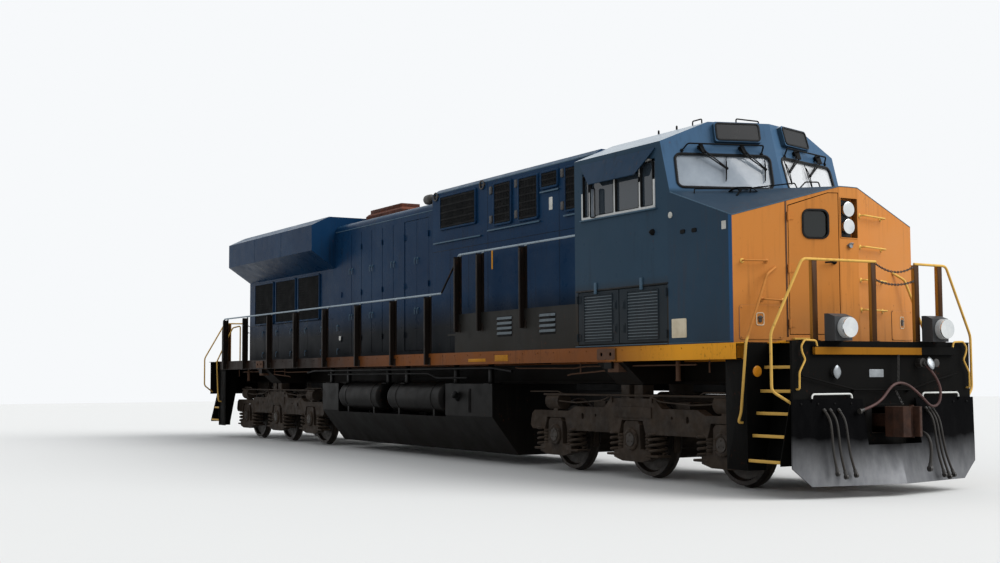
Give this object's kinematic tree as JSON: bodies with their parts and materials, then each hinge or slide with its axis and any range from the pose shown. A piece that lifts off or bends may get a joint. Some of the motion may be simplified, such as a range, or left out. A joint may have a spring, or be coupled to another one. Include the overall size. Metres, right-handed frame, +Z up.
{
  "type": "diesel locomotive",
  "caption": "Full-size six-axle road diesel locomotive with a wide nose cab, long hood, flared radiator wings, two swivelling bogies and opening doors.",
  "frame": {"origin": "centre of the bounding box's base: under the middle of the locomotive, level with the tips of the wheel flanges, 28 mm below the rail's top", "axes": "+X to the nose, +Y to the locomotive's left, +Z up"},
  "size_m": [22.297, 3.334, 4.9098],
  "materials": {
    "black_paint": "satin, dusty",
    "blue_paint": "satin, faded",
    "cab_fittings": "matt",
    "cast_brown": "brake dust and dirt",
    "dark_rail_paint": "satin",
    "engine_grey": "oily",
    "glass": "dusty",
    "grey_paint": "satin",
    "lamp": "lamp reflectors",
    "orange_paint": "satin, faded",
    "rubber": "matt",
    "rusty_steel": "rust",
    "sill_paint": "worn, rust showing",
    "wheel_steel": "rusty with a polished tread",
    "yellow_paint": "gloss, worn"
  },
  "bodies": {
    "body": {"air_reservoirs": "grey_paint", "battery_boxes": "black_paint", "blower_hood": "blue_paint", "brake_hose": "rubber", "cab_glass": "glass", "cab_seats_and_desk": "cab_fittings", "cab_shell": "blue_paint", "control_hose_left_1": "rubber", "control_hose_left_2": "rubber", "control_hose_left_3": "rubber", "control_hose_right_1": "rubber", "control_hose_right_2": "rubber", "control_hose_right_3": "rubber", "draft_boxes_and_king_pins": "black_paint", "end_handrails": "yellow_paint", "end_plates_and_steps": "black_paint", "engine_block": "engine_grey", "engine_hood": "blue_paint", "exhaust_stack_and_horn": "rusty_steel", "fuel_tank": "grey_paint", "hood_grilles": "black_paint", "hose_fittings": "rubber", "jumper_hose": "rubber", "lamps": "lamp", "nose_shell": "orange_paint", "number_boards": "black_paint", "radiator_cabin": "blue_paint", "side_handrails": "dark_rail_paint", "side_window_frames_and_awnings": "blue_paint", "snow_plough": "black_paint", "underframe": "sill_paint", "walkway_boxes": "grey_paint"},
    "front_bogie": {"front_bogie_frame": "cast_brown", "front_axle_boxes": "cast_brown", "front_traction_motors": "cast_brown", "front_brake_gear": "cast_brown"},
    "front_coupler": {"front_coupler": "rusty_steel"},
    "rear_bogie": {"rear_bogie_frame": "cast_brown", "rear_axle_boxes": "cast_brown", "rear_traction_motors": "cast_brown", "rear_brake_gear": "cast_brown"},
    "rear_coupler": {"rear_coupler": "rusty_steel"},
    "wheelset_1": {"wheelset_1": "wheel_steel"},
    "wheelset_2": {"wheelset_2": "wheel_steel"},
    "wheelset_3": {"wheelset_3": "wheel_steel"},
    "wheelset_4": {"wheelset_4": "wheel_steel"},
    "wheelset_5": {"wheelset_5": "wheel_steel"},
    "wheelset_6": {"wheelset_6": "wheel_steel"},
    "nose_door": {"nose_door": "orange_paint", "nose_door_glass": "glass"},
    "cab_rear_door": {"cab_rear_door": "blue_paint", "cab_rear_door_glass": "glass"},
    "battery_door_left_front": {"battery_door_left_front": "grey_paint"},
    "battery_door_left_rear": {"battery_door_left_rear": "grey_paint"},
    "battery_door_right_front": {"battery_door_right_front": "grey_paint"},
    "battery_door_right_rear": {"battery_door_right_rear": "grey_paint"},
    "engine_door_left_front": {"engine_door_left_front": "blue_paint"},
    "engine_door_left_rear": {"engine_door_left_rear": "blue_paint"},
    "engine_door_right_front": {"engine_door_right_front": "blue_paint"},
    "engine_door_right_rear": {"engine_door_right_rear": "blue_paint"}
  },
  "joints": [
    {"name": "front_bogie_swivel", "type": "hinge", "parent": "body", "child": "front_bogie", "pos_m": [6.964, 0, 1], "axis": [0, 0, 1], "range_deg": [-5, 5]},
    {"name": "front_coupler_swing", "type": "hinge", "parent": "body", "child": "front_coupler", "pos_m": [10, 0, 0.904], "axis": [0, 0, 1], "range_deg": [-7, 7]},
    {"name": "rear_bogie_swivel", "type": "hinge", "parent": "body", "child": "rear_bogie", "pos_m": [-6.964, 0, 1], "axis": [0, 0, 1], "range_deg": [-5, 5]},
    {"name": "rear_coupler_swing", "type": "hinge", "parent": "body", "child": "rear_coupler", "pos_m": [-10, 0, 0.904], "axis": [0, 0, 1], "range_deg": [-7, 7]},
    {"name": "axle_1_spin", "type": "hinge", "parent": "front_bogie", "child": "wheelset_1", "pos_m": [8.97, 0, 0.5615], "axis": [0, 1, 0], "continuous": true},
    {"name": "axle_2_spin", "type": "hinge", "parent": "front_bogie", "child": "wheelset_2", "pos_m": [6.964, 0, 0.5615], "axis": [0, 1, 0], "continuous": true},
    {"name": "axle_3_spin", "type": "hinge", "parent": "front_bogie", "child": "wheelset_3", "pos_m": [4.958, 0, 0.5615], "axis": [0, 1, 0], "continuous": true},
    {"name": "axle_4_spin", "type": "hinge", "parent": "rear_bogie", "child": "wheelset_4", "pos_m": [-4.958, 0, 0.5615], "axis": [0, 1, 0], "continuous": true},
    {"name": "axle_5_spin", "type": "hinge", "parent": "rear_bogie", "child": "wheelset_5", "pos_m": [-6.964, 0, 0.5615], "axis": [0, 1, 0], "continuous": true},
    {"name": "axle_6_spin", "type": "hinge", "parent": "rear_bogie", "child": "wheelset_6", "pos_m": [-8.97, 0, 0.5615], "axis": [0, 1, 0], "continuous": true},
    {"name": "nose_door_hinge", "type": "hinge", "parent": "body", "child": "nose_door", "pos_m": [9.94484, -0.8415, 2.79], "axis": [0, 0, -1], "range_deg": [0, 100]},
    {"name": "cab_rear_door_hinge", "type": "hinge", "parent": "body", "child": "cab_rear_door", "pos_m": [6.155, 0.979, 3.55], "axis": [0, 0, 1], "range_deg": [0, 90]},
    {"name": "battery_door_right_rear_hinge", "type": "hinge", "parent": "body", "child": "battery_door_right_rear", "pos_m": [6.244, -1.57, 2.28], "axis": [0, 0, -1], "range_deg": [0, 100]},
    {"name": "battery_door_right_front_hinge", "type": "hinge", "parent": "body", "child": "battery_door_right_front", "pos_m": [8.371, -1.57, 2.28], "axis": [0, 0, 1], "range_deg": [0, 100]},
    {"name": "engine_door_right_front_hinge", "type": "hinge", "parent": "body", "child": "engine_door_right_front", "pos_m": [0.316, -0.965, 3.2], "axis": [0, 0, 1], "range_deg": [0, 100]},
    {"name": "engine_door_right_rear_hinge", "type": "hinge", "parent": "body", "child": "engine_door_right_rear", "pos_m": [-0.686, -0.965, 3.2], "axis": [0, 0, -1], "range_deg": [0, 100]},
    {"name": "battery_door_left_rear_hinge", "type": "hinge", "parent": "body", "child": "battery_door_left_rear", "pos_m": [6.244, 1.57, 2.28], "axis": [0, 0, 1], "range_deg": [0, 100]},
    {"name": "battery_door_left_front_hinge", "type": "hinge", "parent": "body", "child": "battery_door_left_front", "pos_m": [8.371, 1.57, 2.28], "axis": [0, 0, -1], "range_deg": [0, 100]},
    {"name": "engine_door_left_front_hinge", "type": "hinge", "parent": "body", "child": "engine_door_left_front", "pos_m": [0.316, 0.965, 3.2], "axis": [0, 0, -1], "range_deg": [0, 100]},
    {"name": "engine_door_left_rear_hinge", "type": "hinge", "parent": "body", "child": "engine_door_left_rear", "pos_m": [-0.686, 0.965, 3.2], "axis": [0, 0, 1], "range_deg": [0, 100]}
  ]
}
